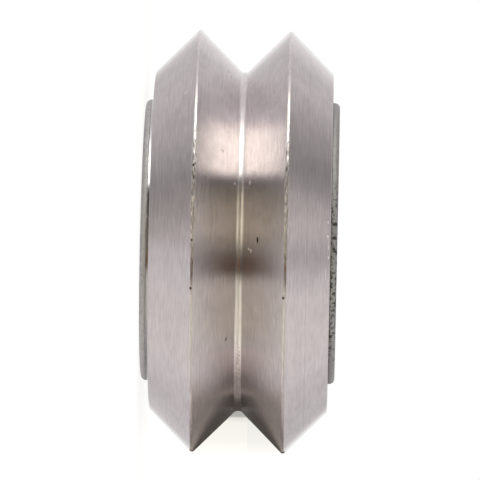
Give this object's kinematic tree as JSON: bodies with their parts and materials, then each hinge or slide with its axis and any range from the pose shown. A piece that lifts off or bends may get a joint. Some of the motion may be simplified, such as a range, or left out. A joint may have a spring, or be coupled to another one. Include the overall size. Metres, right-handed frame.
{
  "type": "v groove wheel",
  "caption": "Turned stainless steel guide wheel with a V groove between its crests, which rolls on shielded ball bearings along a V-edged rail.",
  "frame": {"origin": "centre of the lower end face, on the wheel's axis, where the wheel stands", "axes": "+Z along the bore, from the end that the wheel stands on to the other end; the wheel spins about Z"},
  "size_m": [0.024, 0.024, 0.011],
  "materials": {
    "rim_stainless": "turned stainless steel with fine circular tool lines and small nicks on the crests",
    "ring_steel": "hardened steel, ground and tumbled, a little darker than the rim",
    "shield_steel": "pressed steel sheet, smooth",
    "cage_steel": "pressed steel ribbon",
    "ball_steel": "polished steel",
    "shim_steel": "ground steel shim"
  },
  "bodies": {
    "hub": {"spacer_shim": "shim_steel", "lower_inner_ring": "ring_steel", "upper_inner_ring": "ring_steel"},
    "wheel": {"wheel_rim": "rim_stainless", "lower_outer_ring": "ring_steel", "lower_shield_bottom": "shield_steel", "lower_shield_top": "shield_steel", "upper_outer_ring": "ring_steel", "upper_shield_bottom": "shield_steel", "upper_shield_top": "shield_steel"},
    "lower_cage": {"lower_cage_bottom": "cage_steel", "lower_cage_top": "cage_steel", "lower_cage_rivets": "cage_steel"},
    "lower_ball_1": {"lower_ball_1": "ball_steel"},
    "lower_ball_2": {"lower_ball_2": "ball_steel"},
    "lower_ball_3": {"lower_ball_3": "ball_steel"},
    "lower_ball_4": {"lower_ball_4": "ball_steel"},
    "lower_ball_5": {"lower_ball_5": "ball_steel"},
    "lower_ball_6": {"lower_ball_6": "ball_steel"},
    "lower_ball_7": {"lower_ball_7": "ball_steel"},
    "upper_cage": {"upper_cage_bottom": "cage_steel", "upper_cage_top": "cage_steel", "upper_cage_rivets": "cage_steel"},
    "upper_ball_1": {"upper_ball_1": "ball_steel"},
    "upper_ball_2": {"upper_ball_2": "ball_steel"},
    "upper_ball_3": {"upper_ball_3": "ball_steel"},
    "upper_ball_4": {"upper_ball_4": "ball_steel"},
    "upper_ball_5": {"upper_ball_5": "ball_steel"},
    "upper_ball_6": {"upper_ball_6": "ball_steel"},
    "upper_ball_7": {"upper_ball_7": "ball_steel"}
  },
  "joints": [
    {"name": "wheel_spin", "type": "hinge", "parent": "hub", "child": "wheel", "pos_m": [0, 0, 0.0055], "axis": [0, 0, 1], "continuous": true},
    {"name": "lower_cage_orbit", "type": "hinge", "parent": "hub", "child": "lower_cage", "pos_m": [0, 0, 0.0025], "axis": [0, 0, 1], "continuous": true},
    {"name": "lower_ball_1_roll", "type": "hinge", "parent": "lower_cage", "child": "lower_ball_1", "pos_m": [0.00327, 0.0041, 0.0025], "axis": [0, 0, 1], "continuous": true},
    {"name": "lower_ball_2_roll", "type": "hinge", "parent": "lower_cage", "child": "lower_ball_2", "pos_m": [-0.00117, 0.00512, 0.0025], "axis": [0, 0, 1], "continuous": true},
    {"name": "lower_ball_3_roll", "type": "hinge", "parent": "lower_cage", "child": "lower_ball_3", "pos_m": [-0.00473, 0.00228, 0.0025], "axis": [0, 0, 1], "continuous": true},
    {"name": "lower_ball_4_roll", "type": "hinge", "parent": "lower_cage", "child": "lower_ball_4", "pos_m": [-0.00473, -0.00228, 0.0025], "axis": [0, 0, 1], "continuous": true},
    {"name": "lower_ball_5_roll", "type": "hinge", "parent": "lower_cage", "child": "lower_ball_5", "pos_m": [-0.00117, -0.00512, 0.0025], "axis": [0, 0, 1], "continuous": true},
    {"name": "lower_ball_6_roll", "type": "hinge", "parent": "lower_cage", "child": "lower_ball_6", "pos_m": [0.00327, -0.0041, 0.0025], "axis": [0, 0, 1], "continuous": true},
    {"name": "lower_ball_7_roll", "type": "hinge", "parent": "lower_cage", "child": "lower_ball_7", "pos_m": [0.00525, 0, 0.0025], "axis": [0, 0, 1], "continuous": true},
    {"name": "upper_cage_orbit", "type": "hinge", "parent": "hub", "child": "upper_cage", "pos_m": [0, 0, 0.0085], "axis": [0, 0, 1], "continuous": true},
    {"name": "upper_ball_1_roll", "type": "hinge", "parent": "upper_cage", "child": "upper_ball_1", "pos_m": [0.00327, 0.0041, 0.0085], "axis": [0, 0, 1], "continuous": true},
    {"name": "upper_ball_2_roll", "type": "hinge", "parent": "upper_cage", "child": "upper_ball_2", "pos_m": [-0.00117, 0.00512, 0.0085], "axis": [0, 0, 1], "continuous": true},
    {"name": "upper_ball_3_roll", "type": "hinge", "parent": "upper_cage", "child": "upper_ball_3", "pos_m": [-0.00473, 0.00228, 0.0085], "axis": [0, 0, 1], "continuous": true},
    {"name": "upper_ball_4_roll", "type": "hinge", "parent": "upper_cage", "child": "upper_ball_4", "pos_m": [-0.00473, -0.00228, 0.0085], "axis": [0, 0, 1], "continuous": true},
    {"name": "upper_ball_5_roll", "type": "hinge", "parent": "upper_cage", "child": "upper_ball_5", "pos_m": [-0.00117, -0.00512, 0.0085], "axis": [0, 0, 1], "continuous": true},
    {"name": "upper_ball_6_roll", "type": "hinge", "parent": "upper_cage", "child": "upper_ball_6", "pos_m": [0.00327, -0.0041, 0.0085], "axis": [0, 0, 1], "continuous": true},
    {"name": "upper_ball_7_roll", "type": "hinge", "parent": "upper_cage", "child": "upper_ball_7", "pos_m": [0.00525, 0, 0.0085], "axis": [0, 0, 1], "continuous": true}
  ],
  "couplings": [
    {"joint": "lower_cage_orbit", "follows": "wheel_spin", "ratio": 0.63229},
    {"joint": "lower_ball_1_roll", "follows": "wheel_spin", "ratio": 1.7576},
    {"joint": "lower_ball_2_roll", "follows": "wheel_spin", "ratio": 1.7576},
    {"joint": "lower_ball_3_roll", "follows": "wheel_spin", "ratio": 1.7576},
    {"joint": "lower_ball_4_roll", "follows": "wheel_spin", "ratio": 1.7576},
    {"joint": "lower_ball_5_roll", "follows": "wheel_spin", "ratio": 1.7576},
    {"joint": "lower_ball_6_roll", "follows": "wheel_spin", "ratio": 1.7576},
    {"joint": "lower_ball_7_roll", "follows": "wheel_spin", "ratio": 1.7576},
    {"joint": "upper_cage_orbit", "follows": "wheel_spin", "ratio": 0.63229},
    {"joint": "upper_ball_1_roll", "follows": "wheel_spin", "ratio": 1.7576},
    {"joint": "upper_ball_2_roll", "follows": "wheel_spin", "ratio": 1.7576},
    {"joint": "upper_ball_3_roll", "follows": "wheel_spin", "ratio": 1.7576},
    {"joint": "upper_ball_4_roll", "follows": "wheel_spin", "ratio": 1.7576},
    {"joint": "upper_ball_5_roll", "follows": "wheel_spin", "ratio": 1.7576},
    {"joint": "upper_ball_6_roll", "follows": "wheel_spin", "ratio": 1.7576},
    {"joint": "upper_ball_7_roll", "follows": "wheel_spin", "ratio": 1.7576}
  ]
}
